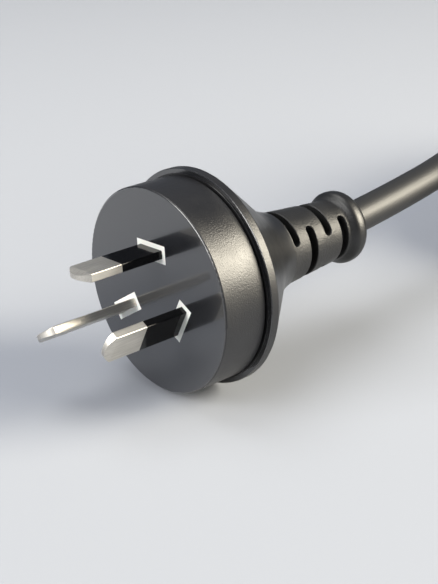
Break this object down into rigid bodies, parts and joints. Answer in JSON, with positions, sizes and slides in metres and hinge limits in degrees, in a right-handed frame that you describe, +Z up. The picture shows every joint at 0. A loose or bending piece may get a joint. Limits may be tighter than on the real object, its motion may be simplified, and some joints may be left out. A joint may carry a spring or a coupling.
{
  "type": "type i mains plug",
  "caption": "Black moulded mains plug with splayed flat pins, part-sleeved line pins, a finger flange and a slotted strain relief on a flexible cord that ends in stripped cores.",
  "frame": {"origin": "centre of the mating face, between the pins", "axes": "+X from the mating face along the plug to the cord, so that the pins point along -X; +Z up as the plug lies on the rim of its flange"},
  "size_m": [0.2299, 0.0648, 0.0422],
  "materials": {
    "moulding_pvc": "black moulded PVC, polished on the mating face and finely textured on the sides",
    "carrier_plastic": "white moulded nylon",
    "pin_metal": "bright nickel plate on brass",
    "sleeve_plastic": "glossy black",
    "active_insulation": "brown PVC",
    "neutral_insulation": "light blue PVC",
    "earth_insulation": "green PVC with a yellow stripe",
    "copper": "bare copper strands",
    "cord_pvc": "satin black PVC sheath",
    "tie_strap": "woven black strap",
    "tinned_wire": "tinned copper"
  },
  "bodies": {
    "root": {"plug_body": "moulding_pvc", "pin_carrier": "carrier_plastic", "active_pin": "pin_metal", "neutral_pin": "pin_metal", "earth_pin": "pin_metal", "active_pin_sleeve": "sleeve_plastic", "neutral_pin_sleeve": "sleeve_plastic", "active_core": "active_insulation", "neutral_core": "neutral_insulation", "earth_core": "earth_insulation", "active_strands": "copper", "neutral_strands": "copper", "earth_strands": "copper", "cord_lead": "cord_pvc", "cord_hank": "cord_pvc", "cord_tail": "cord_pvc", "hank_tie": "tie_strap", "active_core_end": "active_insulation", "neutral_core_end": "neutral_insulation", "earth_core_end": "earth_insulation", "active_wire_end": "tinned_wire", "neutral_wire_end": "tinned_wire", "earth_wire_end": "tinned_wire"}
  },
  "joints": []
}
